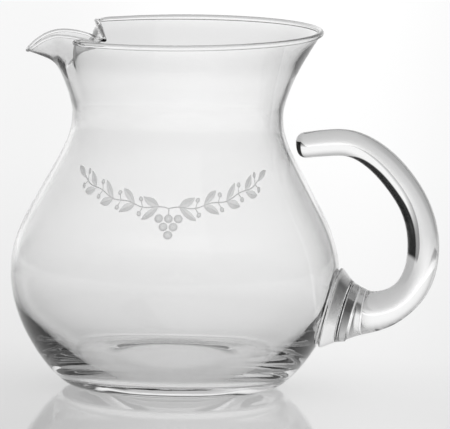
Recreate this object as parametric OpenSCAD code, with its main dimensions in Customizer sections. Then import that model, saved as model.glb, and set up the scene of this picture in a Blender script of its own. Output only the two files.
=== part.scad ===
// Glass cocktail pitcher: round-bellied blown vessel with a pinched pouring lip,
// and a solid glass handle joined to the belly by one pad, its upper end free.
// Z is up, the vessel stands on z = 0, the handle points to +X and the lip to -X.

/* [Body] */
// Height of the rim at the vessel's sides
height = 162.0; // [140:1:190]
// Radius of the round belly
belly_r = 75.0; // [65:0.5:85]
// Radius of the narrow neck
neck_r = 47.9; // [42:0.5:55]
// Radius of the ring that the vessel stands on
foot_r = 44.6; // [38:0.5:50]
// Thickness of the wall at the belly
wall = 2.2; // [1.8:0.1:3.5]
// Thickness of the glass in the middle of the base
base_thick = 6.8; // [4:0.2:10]
// How far the middle of the underside is hollowed
punt = 0.9; // [0.5:0.1:3]

/* [Rim and lip] */
// Radius of the rim, to the middle of its rounded edge
rim_r = 64.6; // [58:0.5:72]
// Radius of the rounded rim edge
bead_r = 1.3; // [0.9:0.05:1.6]
// Radius of the rounded edge along the pouring lip
lip_bead_r = 0.8; // [0.7:0.05:1.3]
// How far the rim falls towards the lip, from the axis to the edge
rim_fall = 1.2; // [0:0.1:3]
// How far the tip of the lip hangs below the rim
tip_drop = 8.5; // [5:0.5:12]
// Reach of the tip from the vessel's axis
tip_reach = 69.4; // [66:0.2:74]
// Half width of the lip where it is widest
lip_half = 12.0; // [9:0.5:16]
// Half width of the channel between the two folds
throat_half = 8.5; // [6:0.5:11]
// Turn of the tip about its own length, in degrees
lip_twist = 6; // [0:1:10]

/* [Handle] */
// Diameter of the handle at its free end
tip_d = 11.8; // [9:0.2:14]
// Diameter of the handle at the grip
grip_d = 14.5; // [11:0.2:18]
// Reach of the handle's middle line from the vessel's axis
handle_reach = 113.4; // [105:0.5:125]
// Height of the free end above the table
tip_z = 112.6; // [104:0.5:120]

/* [Pad] */
// Radius of the pad that joins the handle to the belly
pad_r = 18.9; // [15:0.5:23]
// How far the pad stands out along its axis
pad_len = 11.0; // [8:0.5:15]
// Slope of the pad's axis below level, in degrees
pad_tilt = 14.5; // [5:0.5:20]

/* [Hidden] */
$fn = 96;
cut_z = 146;            // the turned body ends here, and the shaped rim begins
pad_c = [71.1, 38.3];   // where the pad's axis meets its contact face, in X and Z

// ---- smooth curve through hand-set rows: [key, value, value, ...] ----
function row(t, x, i = 0) = (i >= len(t) - 2 || x < t[i + 1][0]) ? i : row(t, x, i + 1);
function slope(t, i, c) =
    i == 0 ? (t[1][c] - t[0][c]) / (t[1][0] - t[0][0]) :
    i == len(t) - 1 ? (t[i][c] - t[i - 1][c]) / (t[i][0] - t[i - 1][0]) :
    (t[i + 1][c] - t[i - 1][c]) / (t[i + 1][0] - t[i - 1][0]);
function ease(t, x, c) =
    let (i = row(t, x), h = t[i + 1][0] - t[i][0], u = (x - t[i][0]) / h)
    (2 * u * u * u - 3 * u * u + 1) * t[i][c]
    + (u * u * u - 2 * u * u + u) * h * slope(t, i, c)
    + (3 * u * u - 2 * u * u * u) * t[i + 1][c]
    + (u * u * u - u * u) * h * slope(t, i + 1, c);
function smooth(u) = let (k = max(0, min(1, u))) k * k * (3 - 2 * k);
function unit(v) = v / norm(v);

// ---- the turned body ----
kz = height / 162;
kb = belly_r / 75;
kn = neck_r / 47.9;
// outside of the body: height, radius
outside = [
    [0, foot_r], [0.4 * kz, foot_r + 2.0], [1.7 * kz, foot_r + 4.6], [3.6 * kz, foot_r + 7.4],
    [7 * kz, 55.6 * kb], [11.5 * kz, 59.4 * kb], [16 * kz, 62.7 * kb], [21 * kz, 65.8 * kb],
    [26 * kz, 68.5 * kb], [31 * kz, 70.7 * kb], [36 * kz, 72.4 * kb], [41 * kz, 73.7 * kb],
    [47 * kz, 74.7 * kb], [53 * kz, 75.0 * kb], [59 * kz, 74.6 * kb], [65 * kz, 73.3 * kb],
    [71 * kz, 71.4 * kb], [77 * kz, 68.8 * kb], [83 * kz, 65.6 * kb], [89 * kz, 62.3 * kb],
    [95 * kz, 59.1 * kb], [101 * kz, 55.8 * kb], [107 * kz, 52.6 * kn], [112 * kz, 50.2 * kn],
    [117 * kz, 48.5 * kn], [122 * kz, 47.9 * kn], [127 * kz, 48.0 * kn], [132 * kz, 48.8 * kn],
    [137 * kz, 50.3 * kn], [142 * kz, 52.5 * kn], [146 * kz, 54.7 * kn], [150 * kz, 57.2 * kn],
    [154 * kz, 59.9 * kn], [158 * kz, 62.5 * kn], [162 * kz, rim_r + 0.4]];
// wall thickness by height: thick at the heel, thin at the neck
thick = [[0, wall + 6.8], [6, wall + 6.0], [10, wall + 4.7], [14, wall + 3.7], [18, wall + 2.9], [22, wall + 2.1],
         [26, wall + 1.35], [30, wall + 0.7], [34, wall + 0.2], [40, wall], [70, wall],
         [110, wall - 0.2], [135, wall - 0.2], [162, wall - 0.4]];
function r_out(z) = ease(outside, z, 1);
inner_z = concat([10.4, 11.2, 12.4], [for (z = [14 : 2 : 42]) z], [for (z = [45 : 4 : 141]) z], [cut_z]);
// inner floor, level to a tight corner: radius, height
floor_curve = [[0, 0], [12, 0], [24, 0], [36, 0], [43, 0], [46, 0], [47, 0.08], [47.6, 0.4], [48.2, 1.1], [48.9, 1.9]];
inner = concat(
    [for (p = floor_curve) [p[0], punt + base_thick + p[1]]],
    [for (z = inner_z) let (s = (r_out(z + 0.5) - r_out(z - 0.5)), t = ease(thick, z, 1))
        [r_out(z) - t * sqrt(1 + s * s), z]]);
outer_z = concat([for (z = [0.4, 1.0, 1.8, 2.8, 4.2, 5.8, 7.6]) z], [for (z = [10 : 3 : 142]) z], [cut_z]);
outer = [for (z = outer_z) [r_out(z), z]];
// hollow of the underside, inside the flat ring that it stands on: radius, height
underside = [[0, punt], [14, punt], [23, punt * 0.98], [26, punt * 0.82], [28.5, punt * 0.5], [31, punt * 0.28],
             [36, punt * 0.14], [40, 0.03], [41.5, 0], [foot_r, 0]];

module turned_body() {
    rotate_extrude()
        polygon(concat(underside, outer, [for (i = [len(inner) - 1 : -1 : 0]) inner[i]]));
}

// ---- the rim and the pouring lip: a shaped wall, drawn as rings by angle from the lip ----
// key angle, reach towards the lip, half width, height against the rim
function on_rim(key, at) = [key, rim_r * cos(at), rim_r * sin(at), 0];
edge = [
    [-7, tip_reach - 3.8, -lip_half * 0.68, -tip_drop * 0.64],
    [-3.5, tip_reach - 1.1, -lip_half * 0.38, -tip_drop * 0.90],
    [0, tip_reach, 0, -tip_drop],
    [3.5, tip_reach - 1.1, lip_half * 0.38, -tip_drop * 0.90],
    [7, tip_reach - 3.8, lip_half * 0.68, -tip_drop * 0.64],
    [10, 61.3, lip_half * 0.88, -2.7], [13, 56.0, lip_half * 0.99, -1.0],
    [16, 50.0, lip_half, -1.1], [18.6, 44.8, lip_half * 0.92, -2.0],
    [21, 40.6, throat_half + 1.1, -3.1], [23, 37.4, throat_half, -4.3],
    [24.4, 35.6, throat_half + 0.4, -4.9], [25.8, 35.1, throat_half + 2.5, -4.8],
    [27.4, 35.9, 14.6, -4.0], [30.6, 38.0, 24.0, -2.4], [33.8, 40.2, 33.6, -1.0],
    [36.4, 41.9, 41.4, -0.2], [38.4, 42.6, 45.8, 0], on_rim(41, 51), on_rim(46, 56),
    on_rim(52, 61), on_rim(60, 67), on_rim(70, 75), on_rim(82, 84), on_rim(92, 92), on_rim(96, 96)];
rise = height - cut_z;
function edge_at(a) =
    let (b = abs(a), s = a < 0 ? -1 : 1)
    b >= 92 ? [rim_r * cos(a), rim_r * sin(a), 0] :
    [ease(edge, b, 1), s * ease(edge, b, 2), ease(edge, b, 3)];
// middle of the wall at angle a from the lip and share v of the way up
function mid(a, v) =
    let (e = edge_at(a), z = cut_z + v * rise, r = r_out(z) - wall / 2,
         dr = rim_r - (r_out(height) - wall / 2),
         g = pow(v, 1.6), q = pow(v, 1.25),
         rr = r + dr * v,
         sx = rr * cos(a) + g * (e[0] - rim_r * cos(a)),
         sy = rr * sin(a) + g * (e[1] - rim_r * sin(a)),
         tw = -e[1] * tan(lip_twist) * pow(max(0, min(1, (e[0] - 54) / 13)), 1.5))
    [-sx, -sy, z + (e[2] + tw) * q - rim_fall / rim_r * sx * smooth(v)];
function across(a, v) = unit(cross(mid(a + 0.4, v) - mid(a - 0.4, v), mid(a, min(1, v + 0.02)) - mid(a, max(0, v - 0.02))));
function along(a) = unit(mid(a, 1) - mid(a, 0.97));
function edge_r(a) = lip_bead_r + (bead_r - lip_bead_r) * smooth((abs(a) - 26) / 11);
// half the wall's thickness: it thins towards the rim, where it meets the thicker rounded edge
function half_wall(a, v) =
    let (e = edge_r(a), w = (wall - 0.4) / 2 - (wall / 2 - 0.2 - 0.4 * e) * smooth(v / 0.9), d = norm(mid(a, v) - mid(a, 1)),
         c = sqrt(max(0, e * e - d * d)))
    w + (c - w) * smooth((c - w) / 0.06 + 0.5);
side_v = [0.06, 0.14, 0.23, 0.33, 0.43, 0.53, 0.63, 0.72, 0.80, 0.87, 0.93, 0.945, 0.96, 0.98, 1];
cap = [60, 30, 0, -30, -60];
// one closed section of the wall at angle a
function section(a) =
    let (n = [for (v = side_v) across(a, v)], t = along(a), e = edge_r(a), m = mid(a, 1), k = len(side_v) - 1,
         b = mid(a, 0), rb = norm([b[0], b[1]]), u = [b[0], b[1], 0] / rb)
    concat(
        [[u[0] * (rb + 0.25), u[1] * (rb + 0.25), cut_z - 0.6], [u[0] * (rb + 0.96), u[1] * (rb + 0.96), cut_z + 0.05]],
        [for (i = [0 : k]) mid(a, side_v[i]) + n[i] * half_wall(a, side_v[i])],
        [for (c = cap) m + n[k] * (e * sin(c)) + t * (e * cos(c))],
        [for (i = [k : -1 : 0]) mid(a, side_v[i]) - n[i] * half_wall(a, side_v[i])],
        [[u[0] * (rb - 0.96), u[1] * (rb - 0.96), cut_z + 0.05], [u[0] * (rb - 0.95), u[1] * (rb - 0.95), cut_z - 0.6]]);
fine = concat([for (a = [0 : 1.5 : 18]) a], [for (a = [19 : 0.95 : 29.5]) a], [for (a = [30.6 : 1.6 : 35.4]) a],
              [for (a = [36.4 : 0.9 : 42.7]) a], [for (a = [44.6 : 2.6 : 55]) a], [for (a = [58.5 : 4 : 94.5]) a]);
angles = concat([for (i = [len(fine) - 1 : -1 : 1]) -fine[i]], fine, [for (a = [99 : 6 : 261]) a]);

module loft(rings, closed) {
    n = len(rings[0]);
    m = len(rings);
    last = closed ? m : m - 1;
    polyhedron(
        points = [for (r = rings) for (p = r) p],
        faces = concat(
            [for (i = [0 : last - 1]) for (j = [0 : n - 1])
                let (a = i * n + j, b = i * n + (j + 1) % n, c = ((i + 1) % m) * n + (j + 1) % n, d = ((i + 1) % m) * n + j)
                each [[a, b, c], [a, c, d]]],
            closed ? [] : [[for (j = [n - 1 : -1 : 0]) j], [for (j = [0 : n - 1]) (m - 1) * n + j]]));
}

module shaped_rim() {
    loft([for (a = angles) section(a)], true);
}

module vessel() {
    color([0.93, 0.95, 0.95, 0.35]) union() {
        turned_body();
        shaped_rim();
    }
}

// ---- the pad, turned on its own sloping axis and seated on the belly ----
module belly_solid() {
    rotate_extrude() polygon(concat([[0, 0], [foot_r, 0]], outer, [[0, cut_z]]));
}

module handle_pad() {
    color([0.9, 0.93, 0.93, 0.35]) difference() {
        translate([pad_c[0], 0, pad_c[1]]) rotate([0, 90 + pad_tilt, 0])
            rotate_extrude() polygon([
                [0, -12], [pad_r - 1.45, -12], [pad_r - 1.4, -1.5], [pad_r - 0.3, -0.4], [pad_r, 0.4], [pad_r - 0.1, 1.0],
                [pad_r - 0.4, 1.6], [pad_r - 1.4, 3.0], [pad_r - 2.6, 4.6], [pad_r - 3.8, 6.2], [pad_r - 4.5, 7.4],
                [pad_r - 5.1, 9.0], [pad_r - 5.8, pad_len],
                [0, pad_len]]);
        belly_solid();
    }
}

// ---- the handle: a tapering rod swept along a curve in the XZ plane ----
hk = handle_reach - 113.4;
// key, X, Z, diameter
path = [
    [0, 81.85, 35.8, 25.6], [1, 84.6, 36.6, 22.8], [2, 87.8, 36.7, 20.2], [3, 92.0, 37.2, 18.4], [4, 97.3, 38.8, 16.8],
    [5, 102.6 + hk * 0.5, 41.9, grip_d + 0.8], [6, 107.2 + hk * 0.8, 46.2, grip_d], [7, 110.8 + hk, 52.2, grip_d],
    [8, 112.9 + hk, 59.8, grip_d], [9, 113.4 + hk, 69.0, grip_d], [10, 111.8 + hk, 78.9, grip_d - 0.5],
    [11, 107.9 + hk * 0.8, 88.4, grip_d - 0.8], [12, 101.6 + hk * 0.6, 97.6, grip_d - 0.9], [13, 93.8 + hk * 0.3, 105.8, grip_d - 1.4],
    [14, 85.2, 111.6, 12.4], [15, 77.2, tip_z + 1.4, 12.2], [16, 68.0, tip_z + 1.0, 12.2], [17, 59.2, tip_z - 0.2, tip_d]];
function p_at(u) = [ease(path, u, 1), 0, ease(path, u, 2)];
function d_at(u) = ease(path, u, 3);
function slant(u) = let (d = p_at(min(17, u + 0.05)) - p_at(max(0, u - 0.05))) atan2(d[2], d[0]);
function dir_at(u) = let (k = smooth(u / 3), t = u < 3 ? -pad_tilt * (1 - k) + slant(u) * k : slant(u)) [cos(t), 0, sin(t)];
function ring(c, d, r, n) = let (s = [-d[2], 0, d[0]]) [for (j = [0 : n - 1]) c + s * (r * cos(j * 360 / n)) + [0, 1, 0] * (r * sin(j * 360 / n))];
pad_end = [pad_c[0] + pad_len * cos(pad_tilt), 0, pad_c[1] - pad_len * sin(pad_tilt)];
rod_n = 32;

module handle() {
    tip_dir = dir_at(17);
    color([0.92, 0.95, 0.95, 0.35])
        loft(concat(
            [ring(pad_end + [sin(pad_tilt), 0, cos(pad_tilt)] * 0.2, dir_at(0), 12.8, rod_n)],
            [for (u = [0.4 : 0.4 : 16.8]) ring(p_at(u), dir_at(u), d_at(u) / 2, rod_n)],
            [for (c = [0 : 15 : 75]) ring(p_at(17) + tip_dir * (tip_d * 0.40 * sin(c)), tip_dir, tip_d / 2 * pow(cos(c), 0.62), rod_n)],
            [ring(p_at(17) + tip_dir * (tip_d * 0.402), tip_dir, tip_d * 0.13, rod_n)]), false);
}

vessel();
handle_pad();
handle();
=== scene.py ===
"""Looks of the glass cocktail pitcher: smooth glass meshes, an engraved sprig, a pale glossy floor, soft light and the camera.

Lengths are in millimetres until a mesh is made, in the CAD's own frame: Z up, the handle on +X, the pouring lip on -X.
"""

import math

import bpy
import numpy as np
from mathutils import Matrix, Vector


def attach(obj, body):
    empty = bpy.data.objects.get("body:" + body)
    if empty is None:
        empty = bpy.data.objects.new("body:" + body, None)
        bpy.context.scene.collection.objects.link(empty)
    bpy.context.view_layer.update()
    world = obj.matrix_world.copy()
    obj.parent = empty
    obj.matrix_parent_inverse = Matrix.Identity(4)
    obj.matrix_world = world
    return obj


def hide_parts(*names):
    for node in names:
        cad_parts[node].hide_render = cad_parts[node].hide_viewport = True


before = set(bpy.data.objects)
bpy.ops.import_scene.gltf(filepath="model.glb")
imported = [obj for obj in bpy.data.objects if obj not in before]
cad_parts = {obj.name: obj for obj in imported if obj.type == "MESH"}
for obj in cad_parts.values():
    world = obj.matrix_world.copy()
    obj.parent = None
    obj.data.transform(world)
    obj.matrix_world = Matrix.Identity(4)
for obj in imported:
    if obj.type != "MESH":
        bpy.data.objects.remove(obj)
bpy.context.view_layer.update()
MM = 0.001

# ------------------------------------------------------------------ sizes, as in the CAD
HEIGHT, WALL, FOOT = 162.0, 2.2, 44.6
RIM_R, BEAD_R, LIP_BEAD_R, RIM_FALL = 64.6, 1.3, 0.8, 1.2
TIP_DROP, TIP_REACH, LIP_HALF, THROAT, TWIST = 8.5, 69.4, 12.0, 8.5, 6.0
CUT_Z = 146.0
PAD_C = np.array([71.1, 0.0, 38.3])
PAD_R, PAD_LEN, PAD_TILT = 18.9, 11.0, 14.5
TIP_D = 11.8
FLOOR_Z = 7.7

OUTSIDE = [(0, 44.6), (0.4, 46.6), (1.7, 49.2), (3.6, 52.0), (7, 55.6), (11.5, 59.4), (16, 62.7), (21, 65.8), (26, 68.5),
           (31, 70.7), (36, 72.4), (41, 73.7), (47, 74.7), (53, 75.0), (59, 74.6), (65, 73.3), (71, 71.4), (77, 68.8),
           (83, 65.6), (89, 62.3), (95, 59.1), (101, 55.8), (107, 52.6), (112, 50.2), (117, 48.5), (122, 47.9), (127, 48.0),
           (132, 48.8), (137, 50.3), (142, 52.5), (146, 54.7), (150, 57.2), (154, 59.9), (158, 62.5), (162, 65.1)]
THICK = [(0, 9.0), (6, 8.2), (10, 6.9), (14, 5.9), (18, 5.1), (22, 4.3), (26, 3.55), (30, 2.9), (34, 2.4), (40, 2.2), (70, 2.2),
         (110, 2.0), (135, 2.0), (162, 1.8)]
FLOOR = [(0, 0), (12, 0), (24, 0), (36, 0), (43, 0), (46, 0), (47, 0.08), (47.6, 0.4), (48.2, 1.1), (48.9, 1.9)]
UNDER = [(0, 0.9), (23, 0.88), (26, 0.74), (28.5, 0.45), (31, 0.25), (36, 0.13), (40, 0.03), (41.5, 0), (44.6, 0)]
PATH = [(0, 81.85, 35.8, 25.6), (1, 84.6, 36.6, 22.8), (2, 87.8, 36.7, 20.2), (3, 92.0, 37.2, 18.4), (4, 97.3, 38.8, 16.8),
        (5, 102.6, 41.9, 15.3), (6, 107.2, 46.2, 14.5), (7, 110.8, 52.2, 14.5), (8, 112.9, 59.8, 14.5), (9, 113.4, 69.0, 14.5),
        (10, 111.8, 78.9, 14.0), (11, 107.9, 88.4, 13.7), (12, 101.6, 97.6, 13.6), (13, 93.8, 105.8, 13.1),
        (14, 85.2, 111.6, 12.4), (15, 77.2, 114.0, 12.2), (16, 68.0, 113.6, 12.2), (17, 59.2, 112.4, 11.8)]
PAD_SIDE = [(-12, 17.45), (-1.5, 17.5), (-0.4, 18.6), (0.4, 18.9), (1.0, 18.8), (1.6, 18.5), (3.0, 17.5), (4.6, 16.3), (6.2, 15.1), (7.4, 14.4),
            (9.0, 13.8), (11, 13.1)]


def on_rim(key, at):
    t = math.radians(at)
    return (key, RIM_R * math.cos(t), RIM_R * math.sin(t), 0.0)


EDGE = [(-7, TIP_REACH - 3.8, -LIP_HALF * 0.68, -TIP_DROP * 0.64), (-3.5, TIP_REACH - 1.1, -LIP_HALF * 0.38, -TIP_DROP * 0.90),
        (0, TIP_REACH, 0, -TIP_DROP), (3.5, TIP_REACH - 1.1, LIP_HALF * 0.38, -TIP_DROP * 0.90),
        (7, TIP_REACH - 3.8, LIP_HALF * 0.68, -TIP_DROP * 0.64), (10, 61.3, LIP_HALF * 0.88, -2.7),
        (13, 56.0, LIP_HALF * 0.99, -1.0), (16, 50.0, LIP_HALF, -1.1), (18.6, 44.8, LIP_HALF * 0.92, -2.0),
        (21, 40.6, THROAT + 1.1, -3.1), (23, 37.4, THROAT, -4.3), (24.4, 35.6, THROAT + 0.4, -4.9),
        (25.8, 35.1, THROAT + 2.5, -4.8), (27.4, 35.9, 14.6, -4.0), (30.6, 38.0, 24.0, -2.4), (33.8, 40.2, 33.6, -1.0),
        (36.4, 41.9, 41.4, -0.2), (38.4, 42.6, 45.8, 0), on_rim(41, 51), on_rim(46, 56), on_rim(52, 61), on_rim(60, 67),
        on_rim(70, 75), on_rim(82, 84), on_rim(92, 92), on_rim(96, 96)]


# ------------------------------------------------------------------ curve helpers
def ease(table, x, c=1):
    """Smooth curve through the rows (key, value, ...), for an array of keys."""
    t = np.array(table, float)
    x = np.asarray(x, float)
    k, y = t[:, 0], t[:, c]
    m = np.empty_like(y)
    m[1:-1] = (y[2:] - y[:-2]) / (k[2:] - k[:-2])
    m[0], m[-1] = (y[1] - y[0]) / (k[1] - k[0]), (y[-1] - y[-2]) / (k[-1] - k[-2])
    i = np.clip(np.searchsorted(k, x, side="right") - 1, 0, len(k) - 2)
    h = k[i + 1] - k[i]
    u = (x - k[i]) / h
    return ((2 * u**3 - 3 * u**2 + 1) * y[i] + (u**3 - 2 * u**2 + u) * h * m[i]
            + (3 * u**2 - 2 * u**3) * y[i + 1] + (u**3 - u**2) * h * m[i + 1])


def smooth(u):
    k = np.clip(u, 0, 1)
    return k * k * (3 - 2 * k)


def unit(v):
    return v / np.linalg.norm(v, axis=-1, keepdims=True)


def respace(p, step):
    """The polyline p with points about step apart along it."""
    d = np.concatenate([[0], np.cumsum(np.linalg.norm(np.diff(p, axis=0), axis=1))])
    n = max(2, int(round(d[-1] / step)) + 1)
    s = np.linspace(0, d[-1], n)
    return np.stack([np.interp(s, d, p[:, c]) for c in range(p.shape[1])], 1)


def soften(p, sigma, step):
    """Evens out a polyline's bends over about sigma, with both ends held."""
    p = respace(p, step)
    n = int(3 * sigma / step) + 1
    w = np.exp(-0.5 * (np.arange(-n, n + 1) * step / sigma) ** 2)
    w /= w.sum()
    head, tail = 2 * p[0] - p[n:0:-1], 2 * p[-1] - p[-2:-n - 2:-1]
    q = np.concatenate([head, p, tail])
    return np.stack([np.convolve(q[:, c], w, mode="valid") for c in range(p.shape[1])], 1)


# ------------------------------------------------------------------ the vessel's profile
zs = np.concatenate([np.linspace(0, 1, 40) ** 2 * 8, np.arange(8.25, 162.01, 0.25)])
wall_line = np.stack([ease(OUTSIDE, zs), zs], 1)
near_line, far_line = soften(wall_line, 2.2, 0.25), soften(wall_line, 4.0, 0.25)
zo = near_line[:, 1]
ro = near_line[:, 0] + (np.interp(zo, far_line[:, 1], far_line[:, 0]) - near_line[:, 0]) * smooth((zo - 62) / 30)
wall_line = np.stack([ro, zo], 1)


def r_out(z):
    return np.interp(z, zo, ro)


def r_in(z):
    s = (r_out(z + 0.6) - r_out(z - 0.6)) / 1.2
    return r_out(z) - ease(THICK, z) * np.sqrt(1 + s * s)


def spaced(p, steps):
    """Points along p, with the local step given by steps(point)."""
    d = np.concatenate([[0], np.cumsum(np.linalg.norm(np.diff(p, axis=0), axis=1))])
    out, s = [0.0], 0.0
    while s < d[-1]:
        here = np.array([np.interp(s, d, p[:, c]) for c in range(2)])
        s += steps(here)
        out.append(min(s, d[-1]))
    out = np.array(out) * d[-1] / out[-1]
    return np.stack([np.interp(out, d, p[:, c]) for c in range(2)], 1)


under_r = np.concatenate([np.linspace(0, 44.6, 200)])
foot = np.stack([under_r, ease(UNDER, under_r)], 1)
low = wall_line[zo <= CUT_Z + 1e-6]
outer_all = soften(np.concatenate([foot, low[1:]]), 0.9, 0.25)
outer_all[:, 1] = np.maximum(outer_all[:, 1], 0)
outer_all[-1] = [r_out(CUT_Z), CUT_Z]
outer_line = spaced(outer_all, lambda q: 2.2 if q[0] < 36 and q[1] < 3 else 0.7 if q[1] < 5 else 1.4 if q[1] < 30 else 2.8)

fr = np.linspace(0, 48.9, 160)
zi = np.arange(10.4, CUT_Z + 0.01, 0.5)
inner_wall = soften(np.stack([r_in(zi), zi], 1), 2.5, 0.25)
inner_all = np.concatenate([np.stack([fr, FLOOR_Z + ease(FLOOR, fr)], 1), inner_wall])
inner_all = soften(inner_all, 0.35, 0.1)
inner_all[:, 0] = np.maximum(inner_all[:, 0], 0)
inner_all[-1] = [r_in(np.array([CUT_Z]))[0], CUT_Z]
inner_line = spaced(inner_all, lambda q: 2.6 if q[0] < 34 and q[1] < 10 else 0.5 if 44 < q[0] < 52 and q[1] < 13 else 1.2 if q[1] < 24 else 2.8)


# ------------------------------------------------------------------ the shaped rim
def edge_at(a):
    b = np.abs(a)
    s = np.where(a < 0, -1.0, 1.0)
    t = np.radians(a)
    plain = b >= 92
    bb = np.minimum(b, 92)
    return np.stack([np.where(plain, RIM_R * np.cos(t), ease(EDGE, bb, 1)),
                     np.where(plain, RIM_R * np.sin(t), s * ease(EDGE, bb, 2)),
                     np.where(plain, 0.0, ease(EDGE, bb, 3))], -1)


def mid(a, v):
    """Middle of the wall at angle a (degrees from the lip) and share v of the way from the cut to the rim."""
    e = edge_at(a)
    t = np.radians(a)
    z = CUT_Z + v * (HEIGHT - CUT_Z)
    r = r_out(z) - WALL / 2
    rr = r + (RIM_R - (r_out(HEIGHT) - WALL / 2)) * v * v
    g = 2 * v * v / (v + 1)
    q = 1.12 * v * v / (v + 0.12)
    sx = rr * np.cos(t) + g * (e[..., 0] - RIM_R * np.cos(t))
    sy = rr * np.sin(t) + g * (e[..., 1] - RIM_R * np.sin(t))
    tw = -e[..., 1] * math.tan(math.radians(TWIST)) * np.clip((e[..., 0] - 54) / 13, 0, 1) ** 1.5
    return np.stack([-sx, -sy, z + (e[..., 2] + tw) * q - RIM_FALL / RIM_R * sx * smooth(v)], -1)


def across(a, v):
    return unit(np.cross(mid(a + 0.3, v) - mid(a - 0.3, v), mid(a, np.minimum(1, v + 0.02)) - mid(a, np.maximum(0, v - 0.02))))


def edge_r(a):
    return LIP_BEAD_R + (BEAD_R - LIP_BEAD_R) * smooth((np.abs(a) - 26) / 11)


def half_wall(a, v, start):
    """Half the wall's thickness: it thins towards the rim, where it meets a rounded edge that is a little thicker."""
    e = edge_r(a)
    w = (WALL - 0.4) / 2 - (WALL / 2 - 0.2 - 0.4 * e) * smooth(v / 0.9)
    d = np.linalg.norm(mid(a, v) - mid(a, np.ones_like(v)), axis=-1)
    c = np.sqrt(np.maximum(e * e - d * d, 0))
    h = w + (c - w) * smooth((c - w) / 0.06 + 0.5)
    return start + (h - start) * smooth(v / 0.3)


angles = np.concatenate([np.linspace(-180, -96, 42, endpoint=False), np.linspace(-96, -50, 32, endpoint=False),
                         np.linspace(-50, -31, 28, endpoint=False), np.linspace(-31, -17, 44, endpoint=False),
                         np.linspace(-17, 0, 20, endpoint=False)])
angles = np.concatenate([angles, [0.0], -angles[1:][::-1]])   # -180 is kept once
assert (np.diff(angles) > 0.05).all()
NA = len(angles)
vs = np.concatenate([np.linspace(0, 0.89, 17)[1:], 0.89 + 0.11 * np.linspace(0, 1, 18)[1:]])
A, V = np.meshgrid(angles, vs, indexing="ij")
slope = (r_out(CUT_Z + 0.5) - r_out(CUT_Z - 0.5))
lean = math.sqrt(1 + slope * slope)
start_out = (WALL / 2) / lean
start_in = (r_out(CUT_Z) - WALL / 2 - r_in(np.array([CUT_Z]))[0]) / lean
M, N = mid(A, V), across(A, V)
rim_out = M + N * half_wall(A, V, start_out)[..., None]
rim_in = M - N * half_wall(A, V, start_in)[..., None]
top, tn = mid(angles, np.ones(NA)), across(angles, np.ones(NA))
up = unit(top - mid(angles, np.full(NA, 0.97)))
er = edge_r(angles)
cap = np.stack([top + tn * (er * math.sin(math.radians(c)))[:, None] + up * (er * math.cos(math.radians(c)))[:, None]
                for c in (74, 56, 38, 19, 0, -19, -38, -56, -74)], 1)


def turned(line, a):
    t = np.radians(a)[:, None]
    r, z = line[None, :, 0], line[None, :, 1]
    return np.stack([-r * np.cos(t), -r * np.sin(t), np.broadcast_to(z, (len(a), line.shape[0]))], -1)


outside = np.concatenate([turned(outer_line, angles), rim_out], 1)
inside = np.concatenate([turned(inner_line, angles), rim_in], 1)


def even(p, z0, z1, rounds):
    """Takes the last trace of a step out of the rows near the joint of the two zones."""
    z = p[..., 2].mean(0)
    w = (smooth((z - z0) / 4) * smooth((z1 - z) / 4))[None, 1:-1, None]
    for _ in range(rounds):
        p[:, 1:-1] += w * 0.5 * (0.5 * (p[:, :-2] + p[:, 2:]) - p[:, 1:-1])
    return p


outside, inside = even(outside, 130, 157, 20), even(inside, 130, 157, 20)
rings = np.concatenate([outside[:, 1:], cap, inside[:, :0:-1]], 1)   # without the two poles


def closed_grid(name, g, pole0, pole1):
    """A closed mesh from rows round an axis: g[i, j] is angle i and place j from the first pole to the last."""
    na, nr = g.shape[:2]
    verts = np.concatenate([g.reshape(-1, 3), [pole0, pole1]]) * MM
    i = np.arange(na)[:, None]
    j = np.arange(nr - 1)[None, :]
    n = (i + 1) % na
    quads = np.stack([i * nr + j, n * nr + j, n * nr + j + 1, i * nr + j + 1], -1).reshape(-1, 4)
    i = np.arange(na)
    n = (i + 1) % na
    first = np.stack([n * nr, i * nr, np.full(na, na * nr)], 1)
    last = np.stack([i * nr + nr - 1, n * nr + nr - 1, np.full(na, na * nr + 1)], 1)
    faces = quads.tolist() + first.tolist() + last.tolist()
    me = bpy.data.meshes.new(name)
    me.from_pydata(verts.tolist(), [], faces)
    me.validate()
    # outward faces: the volume comes out positive
    co = verts
    tri = np.concatenate([quads[:, [0, 1, 2]], quads[:, [0, 2, 3]], first, last])
    vol = np.einsum("ij,ij->i", co[tri[:, 0]], np.cross(co[tri[:, 1]], co[tri[:, 2]])).sum() / 6
    if vol < 0:
        me.flip_normals()
    me.shade_smooth()
    ob = bpy.data.objects.new(name, me)
    bpy.context.scene.collection.objects.link(ob)
    print(f"{name}: {len(faces)} faces, {abs(vol) * 1e9:.0f} mm3")
    return ob


vessel = closed_grid("pitcher_vessel", rings, [0, 0, outside[0, 0, 2]], [0, 0, inside[0, 0, 2]])

# ------------------------------------------------------------------ the pad
ct, st = math.cos(math.radians(PAD_TILT)), math.sin(math.radians(PAD_TILT))
AX = np.array([ct, 0, -st])           # the pad's axis, outward and a little down
UPV = np.array([st, 0, ct])
SIDE = np.array([0.0, 1.0, 0.0])


def pad_point(s, rho, phi):
    s, rho, phi = np.broadcast_arrays(s, rho, phi)
    return (PAD_C + s[..., None] * AX + (rho * np.cos(phi))[..., None] * UPV + (rho * np.sin(phi))[..., None] * SIDE)


def seat(rho, phi):
    """Place along the pad's axis where the line at rho, phi meets the belly."""
    lo, hi = np.full(phi.shape, -14.0), np.full(phi.shape, 6.0)
    for _ in range(40):
        m = (lo + hi) / 2
        p = pad_point(m, rho, phi)
        f = np.hypot(p[..., 0], p[..., 1]) - r_out(p[..., 2])
        lo, hi = np.where(f < 0, m, lo), np.where(f < 0, hi, m)
    return (lo + hi) / 2


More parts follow.
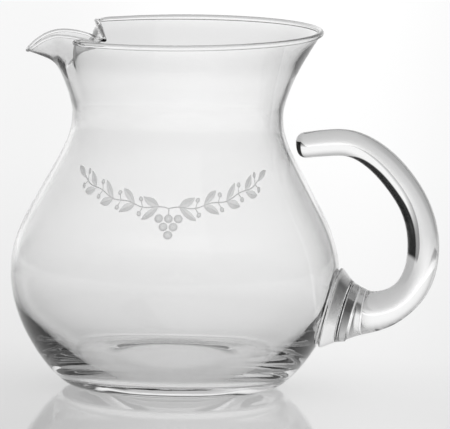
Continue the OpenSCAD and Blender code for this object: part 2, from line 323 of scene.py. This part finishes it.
NP = 128
phi = np.arange(NP) * 2 * math.pi / NP
CONTACT = 17.5
s_seat = seat(np.full(NP, CONTACT), phi)
prof = soften(np.array([(float(ease(PAD_SIDE, q)), q) for q in np.arange(-3.2, 11.01, 0.1)]), 0.35, 0.1)
rows = []
for k in range(1, 9):                                         # contact face, from its middle out
    rho = np.full(NP, CONTACT * k / 9)
    rows.append(pad_point(seat(rho, phi), rho, phi))
side_s = np.linspace(0, 1, 46)
for k in side_s:                                              # side, from the belly to the end
    s = s_seat + (11.0 - s_seat) * k
    rho = np.interp(s, prof[:, 1], prof[:, 0])
    rho = CONTACT + (rho - CONTACT) * smooth(k / 0.08) if k < 0.08 else rho
    rows.append(pad_point(s, rho, phi))
for k in range(5, 0, -1):                                     # end face
    rows.append(pad_point(np.full(NP, 11.0), np.full(NP, 13.1 * k / 6), phi))
g = np.stack(rows, 1)
pad = closed_grid("pitcher_handle_pad", g, pad_point(seat(np.zeros(1), np.zeros(1)), np.zeros(1), np.zeros(1))[0], PAD_C + AX * 11.0)

# ------------------------------------------------------------------ the handle
ku = np.linspace(0, 17, 341)
line = np.stack([ease(PATH, ku, 1), ease(PATH, ku, 2), ease(PATH, ku, 3)], 1)
d = np.concatenate([[0], np.cumsum(np.hypot(*np.diff(line[:, :2], axis=0).T))])
sm = soften(np.stack([line[:, 0], line[:, 1], line[:, 2]], 1), 2.0, 0.5)
ds = np.concatenate([[0], np.cumsum(np.hypot(*np.diff(sm[:, :2], axis=0).T))])
n_h = 190
s_h = np.linspace(0, ds[-1], n_h)
cx, cz, dd = (np.interp(s_h, ds, sm[:, c]) for c in range(3))
u_h = np.interp(s_h * d[-1] / ds[-1], d, ku)
tx, tz = np.gradient(cx, s_h), np.gradient(cz, s_h)
ang = np.degrees(np.arctan2(tz, tx))
ang = np.unwrap(np.radians(ang))
k = smooth(u_h / 3)
ang = np.where(u_h < 3, -math.radians(PAD_TILT) * (1 - k) + ang * k, ang)
NR = 72
th = np.arange(NR) * 2 * math.pi / NR


def ring(c, t, r):
    s = np.array([-math.sin(t), 0, math.cos(t)])
    return np.array(c) + np.outer(np.cos(th) * r, s) + np.outer(np.sin(th) * r, SIDE)


end = PAD_C + AX * PAD_LEN
start = end + UPV * 0.2
hr = [ring(start, -math.radians(PAD_TILT), 12.8 * k / 5) for k in range(1, 5)]
hr.append(ring(start, -math.radians(PAD_TILT), 12.8))
for i in range(n_h):
    if u_h[i] < 0.25:
        continue
    hr.append(ring([cx[i], 0, cz[i]], ang[i], dd[i] / 2))
tip, ta = np.array([cx[-1], 0, cz[-1]]), ang[-1]
tdir = np.array([math.cos(ta), 0, math.sin(ta)])
for c in np.linspace(0, 84, 18)[1:]:
    c = math.radians(c)
    hr.append(ring(tip + tdir * TIP_D * 0.40 * math.sin(c), ta, TIP_D / 2 * math.cos(c) ** 0.62))
handle = closed_grid("pitcher_handle", np.stack(hr, 1), start, tip + tdir * TIP_D * 0.402)

# ------------------------------------------------------------------ materials
def nodes_of(mat):
    mat.use_nodes = True
    nt = mat.node_tree
    nt.nodes.clear()
    return nt, nt.nodes, nt.links


class Graph:
    """Small helper that strings shader nodes together."""

    def __init__(self, mat):
        self.nt, self.n, self.l = nodes_of(mat)

    def put(self, socket, x):
        if hasattr(x, "links"):
            self.l.new(x, socket)
        else:
            socket.default_value = x

    def m(self, op, a, b=None, c=None):
        node = self.n.new("ShaderNodeMath")
        node.operation = op
        for i, x in enumerate((a, b, c)):
            if x is not None:
                self.put(node.inputs[i], x)
        return node.outputs[0]

    def v(self, op, a, b=None, out=0):
        node = self.n.new("ShaderNodeVectorMath")
        node.operation = op
        self.put(node.inputs[0], a)
        if b is not None:
            self.put(node.inputs[1], b)
        return node.outputs[out]

    def ramp(self, x, a, b, lo=0.0, hi=1.0):
        node = self.n.new("ShaderNodeMapRange")
        node.interpolation_type = "SMOOTHSTEP"
        self.l.new(x, node.inputs["Value"])
        for key, val in (("From Min", a), ("From Max", b), ("To Min", lo), ("To Max", hi)):
            node.inputs[key].default_value = val
        return node.outputs["Result"]

    def noise(self, vec, scale, detail=2.0, rough=0.5):
        node = self.n.new("ShaderNodeTexNoise")
        self.l.new(vec, node.inputs["Vector"])
        node.inputs["Scale"].default_value = scale
        node.inputs["Detail"].default_value = detail
        node.inputs["Roughness"].default_value = rough
        return node.outputs["Fac"]

    def total(self, parts, op="ADD"):
        x = parts[0]
        for y in parts[1:]:
            x = self.m(op, x, y)
        return x


# ---- the engraved sprig: two mirrored laurel branches that rise from a bunch of berries, drawn on the shoulder in mm
SPRIG_AT, SPRIG_Z, SPRIG_R, PITCH, CELLS = 3.0, 89.0, 60.0, 10.6, 4


def sprig(g, pos):
    """Masks of the engraving: (cut area, fine cuts inside it, how dark its cuts look: their own grey with painted
    shade).
    """
    xyz = g.n.new("ShaderNodeSeparateXYZ")
    g.l.new(pos, xyz.inputs[0])
    x, y, z = xyz.outputs
    turn_ = g.m("ARCTAN2", x, g.m("MULTIPLY", y, -1.0))
    u = g.m("ABSOLUTE", g.m("SUBTRACT", g.m("MULTIPLY", turn_, SPRIG_R), SPRIG_AT))
    zz = g.m("MULTIPLY", z, 1000.0)
    stem_z = g.m("MULTIPLY_ADD", g.m("MULTIPLY", u, u), 0.0052, SPRIG_Z)
    wob = g.m("MULTIPLY", g.m("SINE", g.m("MULTIPLY", u, 0.42)), 0.55)
    v = g.m("SUBTRACT", zz, g.m("ADD", stem_z, wob))
    w = g.m("SUBTRACT", u, 3.2)                                             # along the branch, from the bunch
    cell = g.m("FLOOR", g.m("DIVIDE", w, PITCH))
    q = g.m("SUBTRACT", w, g.m("MULTIPLY", cell, PITCH))
    wn = g.n.new("ShaderNodeTexWhiteNoise"); wn.noise_dimensions = "2D"
    comb = g.n.new("ShaderNodeCombineXYZ")
    g.l.new(cell, comb.inputs[0]); g.l.new(g.m("SIGN", v), comb.inputs[1])
    g.l.new(comb.outputs[0], wn.inputs["Vector"])
    chance = wn.outputs["Value"]
    inside = g.m("MULTIPLY", g.m("GREATER_THAN", w, 0.0), g.m("LESS_THAN", cell, CELLS - 0.5))
    av = g.m("ABSOLUTE", v)

    def leaf(px, py, cx, cy, ang, half, wide):
        """Pointed oval; ang in radians may vary from leaf to leaf."""
        dx, dy = g.m("SUBTRACT", px, cx), g.m("SUBTRACT", py, cy)
        co, si = g.m("COSINE", ang), g.m("SINE", ang)
        a = g.m("DIVIDE", g.m("ADD", g.m("MULTIPLY", dx, co), g.m("MULTIPLY", dy, si)), half)
        b = g.m("DIVIDE", g.m("SUBTRACT", g.m("MULTIPLY", dy, co), g.m("MULTIPLY", dx, si)), wide)
        ab = g.m("ABSOLUTE", b)
        f = g.m("SUBTRACT", g.m("SUBTRACT", 1.0, g.m("MULTIPLY", a, a)), ab)
        area = g.ramp(f, 0.0, 0.16)
        rib = g.m("MULTIPLY", area, g.ramp(ab, 0.06, 0.20, 1.0, 0.0))
        veins = g.m("MULTIPLY", area, g.m("MULTIPLY_ADD", g.m("SINE", g.m("MULTIPLY", g.m("SUBTRACT", g.m("MULTIPLY", a, half), g.m("MULTIPLY", ab, wide)), 6.6)), 0.5, 0.5))
        # the cut's own grey, with painted shade: one half of a cut leaf is painted darker than the other, and both are
        # darker by the tip
        cut_tone_and_shade = g.m("MULTIPLY_ADD", g.ramp(b, -0.12, 0.12), 0.17, g.m("MULTIPLY_ADD", g.ramp(a, -0.6, 1.0), 0.10, 0.06))
        cut_tone_and_shade = g.m("MULTIPLY", area, g.m("MULTIPLY_ADD", rib, 0.10, cut_tone_and_shade))
        return area, rib, veins, cut_tone_and_shade

    ang = g.m("MULTIPLY_ADD", chance, 0.24, 0.50)
    half = g.m("SUBTRACT", g.m("MULTIPLY_ADD", chance, 0.5, 4.4), g.m("MULTIPLY", cell, 0.32))
    pair = leaf(q, av, 4.9, g.m("MULTIPLY_ADD", chance, 0.4, 2.35), ang, half, 1.75)
    last = leaf(w, v, PITCH * CELLS + 4.0, 0.0, 0.12, 4.0, 1.5)
    stem = g.m("MULTIPLY", g.ramp(av, 0.16, 0.34, 1.0, 0.0), g.m("MULTIPLY", g.ramp(w, -4.6, -3.6), g.ramp(w, PITCH * CELLS + 1.5, PITCH * CELLS + 0.5)))
    sa, ca = math.sin(1.16), math.cos(1.16)
    off = g.m("ABSOLUTE", g.m("SUBTRACT", g.m("MULTIPLY", av, ca), g.m("MULTIPLY", g.m("SUBTRACT", q, 8.4), sa)))
    stalk = g.m("MULTIPLY", g.ramp(off, 0.12, 0.28, 1.0, 0.0), g.ramp(av, 2.5, 2.3))
    berry_d = g.m("SQRT", g.m("ADD", g.m("POWER", g.m("SUBTRACT", q, 9.7), 2.0), g.m("POWER", g.m("SUBTRACT", av, 3.2), 2.0)))
    berry = g.ramp(berry_d, 1.15, 0.95)
    shine = g.ramp(berry_d, 0.45, 0.2)
    parts = [g.m("MULTIPLY", g.total([pair[0], stalk, berry], "MAXIMUM"), inside), last[0], stem]
    # painted shade: each berry is painted darker at its rim than at its centre
    berry_tone_and_shade = g.m("MULTIPLY", berry, g.ramp(berry_d, 0.35, 0.95, 0.12, 0.40))
    cut_tones_and_shades = [g.m("MULTIPLY", g.total([pair[3], g.m("MULTIPLY", stalk, 0.36), berry_tone_and_shade], "MAXIMUM"), inside), last[3], g.m("MULTIPLY", stem, 0.38)]
    cuts = [g.m("MULTIPLY", g.m("MAXIMUM", g.m("MAXIMUM", pair[1], g.m("MULTIPLY", pair[2], 0.55)), shine), inside),
            g.m("MAXIMUM", last[1], g.m("MULTIPLY", last[2], 0.55))]
    for cx, cz in ((0.0, 77.6), (2.05, 81.1), (0.0, 84.6), (4.1, 84.6)):     # the bunch, mirrored
        d = g.m("SQRT", g.m("ADD", g.m("POWER", g.m("SUBTRACT", u, cx), 2.0), g.m("POWER", g.m("SUBTRACT", zz, cz), 2.0)))
        parts.append(g.ramp(d, 1.95, 1.7))
        # painted shade: each berry of the bunch is painted darker at its rim
        cut_tones_and_shades.append(g.m("MULTIPLY", g.ramp(d, 1.95, 1.7), g.ramp(d, 0.6, 1.7, 0.10, 0.38)))
        cuts.append(g.m("MAXIMUM", g.ramp(d, 0.7, 0.35), g.m("MULTIPLY", g.ramp(g.m("ABSOLUTE", g.m("SUBTRACT", d, 1.3)), 0.3, 0.1), 0.5)))
    neck_ = g.m("MULTIPLY", g.ramp(u, 0.34, 0.16), g.m("MULTIPLY", g.ramp(zz, 85.5, 86.5), g.ramp(zz, 89.6, 89.0)))
    parts.append(neck_)
    cut_tones_and_shades.append(g.m("MULTIPLY", neck_, 0.38))
    return g.total(parts, "MAXIMUM"), g.total(cuts, "MAXIMUM"), g.total(cut_tones_and_shades, "MAXIMUM")


def glass(name, tone, ripple=1.0, marks=0.0, fused=None, engraved=False):
    """Clear hand-blown glass: soft ripples, wiping marks, tiny seeds; marks adds the crinkled skin of a pressed-on gather."""
    mat = bpy.data.materials.new(name)
    g = Graph(mat)
    n, l = g.n, g.l
    out = n.new("ShaderNodeOutputMaterial")
    b = n.new("ShaderNodeBsdfPrincipled")
    tc = n.new("ShaderNodeTexCoord")
    pos = tc.outputs["Object"]
    b.inputs["Base Color"].default_value = (tone, tone, tone, 1)
    b.inputs["Transmission Weight"].default_value = 1.0
    b.inputs["IOR"].default_value = 1.5
    # surface height in mm: ripples 20 to 40 mm long, finer ones 5 mm long, and seeds
    height = g.m("MULTIPLY", g.noise(pos, 34.0, 1.0), 0.10 * ripple)
    height = g.m("ADD", height, g.m("MULTIPLY", g.noise(pos, 190.0, 2.0), 0.0045 * ripple))
    if marks:
        height = g.m("ADD", height, g.m("MULTIPLY", g.noise(pos, 520.0, 3.0, 0.6), 0.016 * marks))
    vor = n.new("ShaderNodeTexVoronoi")
    vor.inputs["Scale"].default_value = 95.0
    l.new(pos, vor.inputs["Vector"])
    sep = n.new("ShaderNodeSeparateColor")
    l.new(vor.outputs["Color"], sep.inputs[0])
    seeds = g.m("MULTIPLY", g.ramp(vor.outputs["Distance"], 0.028, 0.008), g.m("GREATER_THAN", sep.outputs[0], 0.86))
    height = g.m("ADD", height, g.m("MULTIPLY", seeds, 0.03))
    smear = g.ramp(g.noise(pos, 60.0, 4.0, 0.65), 0.52, 0.78)               # wiping marks, hardly there
    rough = g.m("MULTIPLY", smear, 0.02)
    if engraved:
        area, cuts, cut_tone_and_shade = sprig(g, pos)
        grain = g.noise(pos, 2600.0, 2.0)
        rough = g.m("MAXIMUM", rough, g.m("MULTIPLY", area, g.m("SUBTRACT", g.m("MULTIPLY_ADD", grain, 0.22, 0.44), g.m("MULTIPLY", cuts, 0.26))))
        height = g.m("SUBTRACT", height, g.m("MULTIPLY", area, g.m("MULTIPLY_ADD", cuts, 0.05, 0.05)))
        col = n.new("ShaderNodeCombineColor")
        # the engraving's colour: its own frosted grey and random grain, less the painted shade of the cuts
        shade_ = g.m("SUBTRACT", tone, g.m("MULTIPLY_ADD", g.m("SUBTRACT", grain, 0.5), g.m("MULTIPLY", area, 0.25), cut_tone_and_shade))
        for c in range(3):
            l.new(shade_, col.inputs[c])
        l.new(col.outputs[0], b.inputs["Base Color"])
        l.new(g.m("SUBTRACT", 1.0, g.m("MULTIPLY", area, 0.22)), b.inputs["Transmission Weight"])
    l.new(rough, b.inputs["Roughness"])
    bump = n.new("ShaderNodeBump")
    bump.inputs["Strength"].default_value = 1.0
    bump.inputs["Distance"].default_value = MM
    l.new(height, bump.inputs["Height"])
    l.new(bump.outputs[0], b.inputs["Normal"])
    l.new(b.outputs[0], out.inputs["Surface"])
    if fused:
        centre, axis, radius, depth = fused
        rel = g.v("SUBTRACT", pos, Vector(centre) * MM)
        lt = g.m("LESS_THAN", g.v("LENGTH", g.v("CROSS_PRODUCT", rel, axis), out=1), radius * MM)
        gt = g.m("GREATER_THAN", g.v("DOT_PRODUCT", rel, axis, out=1), depth * MM)
        tr = n.new("ShaderNodeBsdfTransparent")
        mix = n.new("ShaderNodeMixShader")
        l.new(g.m("MULTIPLY", lt, gt), mix.inputs[0]); l.new(b.outputs[0], mix.inputs[1]); l.new(tr.outputs[0], mix.inputs[2])
        l.new(mix.outputs[0], out.inputs["Surface"])
    return mat


clear = bpy.data.materials.new("fused_joint")
nt, n, l = nodes_of(clear)
o = n.new("ShaderNodeOutputMaterial"); t = n.new("ShaderNodeBsdfTransparent"); l.new(t.outputs[0], o.inputs["Surface"])

vessel.data.materials.append(glass("vessel_glass_look", 0.964, fused=(PAD_C, AX, CONTACT, -6.0)))
vessel.data.materials.append(glass("vessel_engraved_look", 0.964, engraved=True))
pad.data.materials.append(glass("pad_glass_look", 0.98, marks=1.0))
pad.data.materials.append(clear)
handle.data.materials.append(glass("handle_glass_look", 0.98, ripple=0.7))
handle.data.materials.append(clear)


def slot_faces(ob, test, index):
    for p in ob.data.polygons:
        if test(p):
            p.material_index = index


def mm(v):
    return np.array(v) / MM


def in_contact(p):
    q = mm(p.center) - PAD_C
    s = q @ AX
    rho = np.linalg.norm(q - s * AX)
    return rho < CONTACT * 0.995 and s < 3


def in_end(p):
    q = mm(p.center) - end
    s = q @ AX
    q = q - UPV * 0.2
    rho = np.linalg.norm(q - (q @ AX) * AX)
    return abs(s) < 0.05 and rho < 12.8


# the engraved look is only on the outside of the shoulder, across the front
face_index = np.zeros(len(vessel.data.polygons), np.int32)
nr_all = rings.shape[1]
fi, fj = np.divmod(np.arange(NA * (nr_all - 1)), nr_all - 1)
fz = rings[fi, fj, 2]
fa = np.degrees(np.arctan2(rings[fi, fj, 0], -rings[fi, fj, 1]))
face_index[:len(fj)] = (fj < outside.shape[1] - 1) & (fz > 70) & (fz < 113) & (np.abs(fa - 3) < 62)
vessel.data.polygons.foreach_set("material_index", face_index)

slot_faces(pad, in_contact, 1)
slot_faces(handle, in_end, 1)

# the pad's end face is clear where the handle grows out of it, and glass on the narrow ledge round it
slot_faces(pad, in_end, 1)

for ob, node, sl in ((vessel, "vessel", "vessel_glass"), (pad, "handle_pad", "pad_glass"), (handle, "handle", "handle_glass")):
    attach(ob, "root")
    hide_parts(node)

# ------------------------------------------------------------------ floor
# strengths of the floor's painted glow and of its painted shade patches
GLOW, INNER_DARK, LEFT_DARK, JOINT_DARK = 0.49, 0.6, 0.85, 0.95
AZ, EL, ROLL = 5.7, 7.036, 1.083                        # the photograph's direction
az = math.radians(AZ)
me = bpy.data.meshes.new("floor")
S = 40.0
me.from_pydata([(-S, -S, -0.00003), (S, -S, -0.00003), (S, S, -0.00003), (-S, S, -0.00003)], [], [(0, 1, 2, 3)])
floor = bpy.data.objects.new("floor", me)
bpy.context.scene.collection.objects.link(floor)
mat = bpy.data.materials.new("floor_look")
nt, n, l = nodes_of(mat)
out = n.new("ShaderNodeOutputMaterial")
b = n.new("ShaderNodeBsdfPrincipled")
geo = n.new("ShaderNodeNewGeometry")


def fmath(op, a, b=None):
    m = n.new("ShaderNodeMath")
    m.operation = op
    for i, x in enumerate((a, b)):
        if isinstance(x, (int, float)):
            m.inputs[i].default_value = x
        elif x is not None:
            l.new(x, m.inputs[i])
    return m.outputs[0]


def fstep(x, a, b):
    m = n.new("ShaderNodeMapRange")
    m.interpolation_type = "SMOOTHSTEP"
    l.new(x, m.inputs["Value"])
    m.inputs["From Min"].default_value, m.inputs["From Max"].default_value = a, b
    return m.outputs["Result"]


def fdot(vec):
    m = n.new("ShaderNodeVectorMath")
    m.operation = "DOT_PRODUCT"
    m.inputs[1].default_value = vec
    l.new(geo.outputs["Position"], m.inputs[0])
    return m.outputs["Value"]


across_x, along_y = fdot((math.cos(az), math.sin(az), 0)), fdot((-math.sin(az), math.cos(az), 0))
away = n.new("ShaderNodeVectorMath"); away.operation = "DISTANCE"
away.inputs[1].default_value = (-0.03, -0.15, 0)
l.new(geo.outputs["Position"], away.inputs[0])
# painted shade: the floor's colour and glow are painted dimmer near the object and white far off
floor_ramp = n.new("ShaderNodeValToRGB")                 # tone of the floor by distance: dimmer round the object, white far off
l.new(fmath("MULTIPLY", away.outputs["Value"], 0.5), floor_ramp.inputs["Fac"])
FLOOR_LEVELS = [(0.0, 0.62), (0.15, 0.71), (0.3, 0.79), (0.6, 0.84), (1.0, 0.895), (1.8, 0.93)]
while len(floor_ramp.color_ramp.elements) < len(FLOOR_LEVELS):
    floor_ramp.color_ramp.elements.new(0.5)
for el_, (q, v) in zip(floor_ramp.color_ramp.elements, FLOOR_LEVELS):
    el_.position = q * 0.5
    el_.color = (v, v, v, 1)
# painted light falloff: the floor is painted darker away from a line just right of the object
aside = fstep(fmath("ABSOLUTE", fmath("SUBTRACT", across_x, 0.05)), 0.03, 0.13)
lateral = fmath("SUBTRACT", 1.0, fmath("MULTIPLY", aside, 0.13))
# painted shade on the floor, seen only through the glass: a painted dark flag to the right of the solid parts, a soft
# one to the left of the belly
lp = n.new("ShaderNodeLightPath")
through = fmath("GREATER_THAN", lp.outputs["Transmission Depth"], 0.5)
solid = fmath("MULTIPLY", through, fmath("LESS_THAN", lp.outputs["Transmission Depth"], 2.5))
behind = fstep(along_y, 0.08, 0.13)
far = n.new("ShaderNodeVectorMath"); far.operation = "LENGTH"
l.new(geo.outputs["Position"], far.inputs[0])
behind_far = fmath("MULTIPLY", behind, fstep(far.outputs["Value"], 0.38, 0.46))
flag = fmath("MULTIPLY", fmath("MULTIPLY", solid, behind_far), fstep(across_x, 0.190, 0.205))
joined = fmath("GREATER_THAN", lp.outputs["Transparent Depth"], 0.5)          # light that has crossed a fused joint
# painted shade on the floor for light that has crossed a fused joint
both = fmath("MULTIPLY", fmath("MULTIPLY", joined, behind), fmath("MAXIMUM", fstep(across_x, 0.14, 0.16), fstep(across_x, 0.07, 0.03)))
flag = fmath("MAXIMUM", flag, fmath("MULTIPLY", both, JOINT_DARK))
shade_x = fmath("MULTIPLY", fstep(across_x, 0.06, 0.03), fstep(across_x, -0.16, -0.10))      # the body's own shade, behind it
shade_y = fmath("MULTIPLY", fstep(along_y, 0.0, 0.03), fstep(along_y, 0.27, 0.18))
flag = fmath("MAXIMUM", flag, fmath("MULTIPLY", solid, fmath("MULTIPLY", fmath("MULTIPLY", shade_x, shade_y), 0.25)))
clean = fmath("MULTIPLY", fmath("GREATER_THAN", lp.outputs["Transmission Depth"], 3.5), fmath("LESS_THAN", lp.outputs["Glossy Depth"], 0.5))
left = fmath("MULTIPLY", fmath("MULTIPLY", fmath("SUBTRACT", through, fmath("MULTIPLY", clean, 0.3)), LEFT_DARK), fmath("MULTIPLY", fmath("MULTIPLY", fstep(across_x, -0.10, -0.20), fstep(across_x, -0.92, -0.78)), fmath("MULTIPLY", fstep(along_y, 0.34, 0.42), fstep(along_y, 0.9, 0.6))))
# painted shade on the floor for light that came through the glass and was then reflected
inner = fmath("MULTIPLY", fmath("MULTIPLY", through, fmath("GREATER_THAN", lp.outputs["Glossy Depth"], 0.5)),
              fstep(away.outputs["Value"], 0.10, 0.20))
dark = fmath("MAXIMUM", fmath("MAXIMUM", fmath("MULTIPLY", flag, 0.985), left), fmath("MULTIPLY", inner, INNER_DARK))
tone_v = fmath("MULTIPLY", fmath("MULTIPLY", floor_ramp.outputs["Color"], lateral), fmath("SUBTRACT", 1.0, dark))
tone = n.new("ShaderNodeCombineColor")
shade = fmath("MULTIPLY", tone_v, 0.8)
for c in range(3):
    l.new(shade, tone.inputs[c])
l.new(tone.outputs[0], b.inputs["Base Color"])
# painted glow: the floor glows with its own tone, painted shade and all, though it is no lamp
b.inputs["Emission Color"].default_value = (1, 1, 1, 1)
l.new(fmath("MULTIPLY", tone_v, GLOW), b.inputs["Emission Strength"])
b.inputs["Roughness"].default_value = 0.05
b.inputs["IOR"].default_value = 1.1
l.new(b.outputs[0], out.inputs["Surface"])
me.materials.append(mat)

# ------------------------------------------------------------------ light
world = bpy.data.worlds.new("studio")
bpy.context.scene.world = world
world.use_nodes = True
nt = world.node_tree
nt.nodes.clear()
out = nt.nodes.new("ShaderNodeOutputWorld")
bg = nt.nodes.new("ShaderNodeBackground")
nt.links.new(bg.outputs[0], out.inputs[0])
tc = nt.nodes.new("ShaderNodeTexCoord")


def wmath(op, a, b=None, c=None):
    m = nt.nodes.new("ShaderNodeMath")
    m.operation = op
    for i, x in enumerate((a, b, c)):
        if x is None:
            continue
        if isinstance(x, (int, float)):
            m.inputs[i].default_value = x
        else:
            nt.links.new(x, m.inputs[i])
    return m.outputs[0]


def wdot(vec):
    m = nt.nodes.new("ShaderNodeVectorMath")
    m.operation = "DOT_PRODUCT"
    m.inputs[1].default_value = vec
    nt.links.new(tc.outputs["Generated"], m.inputs[0])
    return m.outputs["Value"]


def step(x, a, b):
    m = nt.nodes.new("ShaderNodeMapRange")
    m.interpolation_type = "SMOOTHSTEP"
    nt.links.new(x, m.inputs["Value"])
    m.inputs["From Min"].default_value, m.inputs["From Max"].default_value = a, b
    return m.outputs["Result"]


fwd = wdot((-math.sin(az), math.cos(az), 0))
rgt = wdot((math.cos(az), math.sin(az), 0))
upz = wdot((0, 0, 1))
turn = wmath("MULTIPLY", wmath("ARCTAN2", rgt, fwd), 180 / math.pi)      # degrees to the right of straight ahead
rise = wmath("MULTIPLY", wmath("ARCSINE", upz), 180 / math.pi)
ring_ramp = nt.nodes.new("ShaderNodeValToRGB")          # brightness round the horizon: a white sweep behind, dim at the sides and in front
nt.links.new(wmath("MULTIPLY_ADD", turn, 1 / 360, 0.5), ring_ramp.inputs["Fac"])
LEVELS = [(-180, 0.05), (-110, 0.05), (-75, 0.10), (-62, 0.22), (-50, 0.45), (-40, 0.66), (-28, 0.90), (-14, 1.0), (30, 1.0), (42, 0.10),
          (60, 0.03), (180, 0.04)]
ramp = ring_ramp.color_ramp
ramp.interpolation = "LINEAR"
while len(ramp.elements) < len(LEVELS):
    ramp.elements.new(0.5)
for e, (t, v) in zip(ramp.elements, LEVELS):
    e.position = t / 360 + 0.5
    e.color = (v, v, v, 1)
REAR, TOP = 1.0, 0.55
high = step(rise, 12, 45)
level = wmath("ADD", wmath("MULTIPLY", wmath("MULTIPLY", ring_ramp.outputs["Color"], REAR), wmath("SUBTRACT", 1.0, high)),
              wmath("MULTIPLY", high, TOP))
lpw = nt.nodes.new("ShaderNodeLightPath")
few = wmath("MULTIPLY", wmath("GREATER_THAN", lpw.outputs["Transmission Depth"], 0.5), wmath("LESS_THAN", lpw.outputs["Transmission Depth"], 2.5))
flag = wmath("MULTIPLY", few, wmath("MULTIPLY", step(turn, 17.5, 22), wmath("LESS_THAN", turn, 150)))
# light that comes straight through both walls finds a bright room all round
clean = wmath("MULTIPLY", wmath("GREATER_THAN", lpw.outputs["Transmission Depth"], 3.5), wmath("LESS_THAN", lpw.outputs["Glossy Depth"], 0.5))
clean = wmath("MULTIPLY", clean, wmath("LESS_THAN", lpw.outputs["Diffuse Depth"], 0.5))
level = wmath("MAXIMUM", level, wmath("MULTIPLY", clean, 0.86))
level = wmath("MULTIPLY", level, wmath("SUBTRACT", 1.0, wmath("MULTIPLY", flag, 0.985)))
nt.links.new(level, bg.inputs["Color"])
bg.inputs["Strength"].default_value = 1.0

# ------------------------------------------------------------------ camera
el, roll = math.radians(EL), math.radians(ROLL)
right = Vector((math.cos(az), math.sin(az), 0))
back = Vector((math.sin(az) * math.cos(el), -math.cos(az) * math.cos(el), math.sin(el)))
upv = back.cross(right)
r2 = right * math.cos(roll) + upv * math.sin(roll)
u2 = -right * math.sin(roll) + upv * math.cos(roll)
target = right * 0.022334 + Vector((0, 0, 0.07904))
cam = bpy.data.objects.new("camera", bpy.data.cameras.new("camera"))
bpy.context.scene.collection.objects.link(cam)
cam.matrix_world = Matrix(((r2.x, u2.x, back.x, 0), (r2.y, u2.y, back.y, 0), (r2.z, u2.z, back.z, 0), (0, 0, 0, 1)))
cam.location = target + back * 8.0
cam.data.sensor_width = 36.0
cam.data.lens = 2.1947 * 8000 / 450 * 36
cam.data.clip_start, cam.data.clip_end = 0.5, 100
bpy.context.scene.camera = cam

sc = bpy.context.scene
sc.view_settings.view_transform = "Standard"
sc.view_settings.look = "None"
sc.cycles.max_bounces = 40
sc.cycles.transmission_bounces = 40
sc.cycles.glossy_bounces = 16
sc.cycles.diffuse_bounces = 3
sc.cycles.transparent_max_bounces = 40
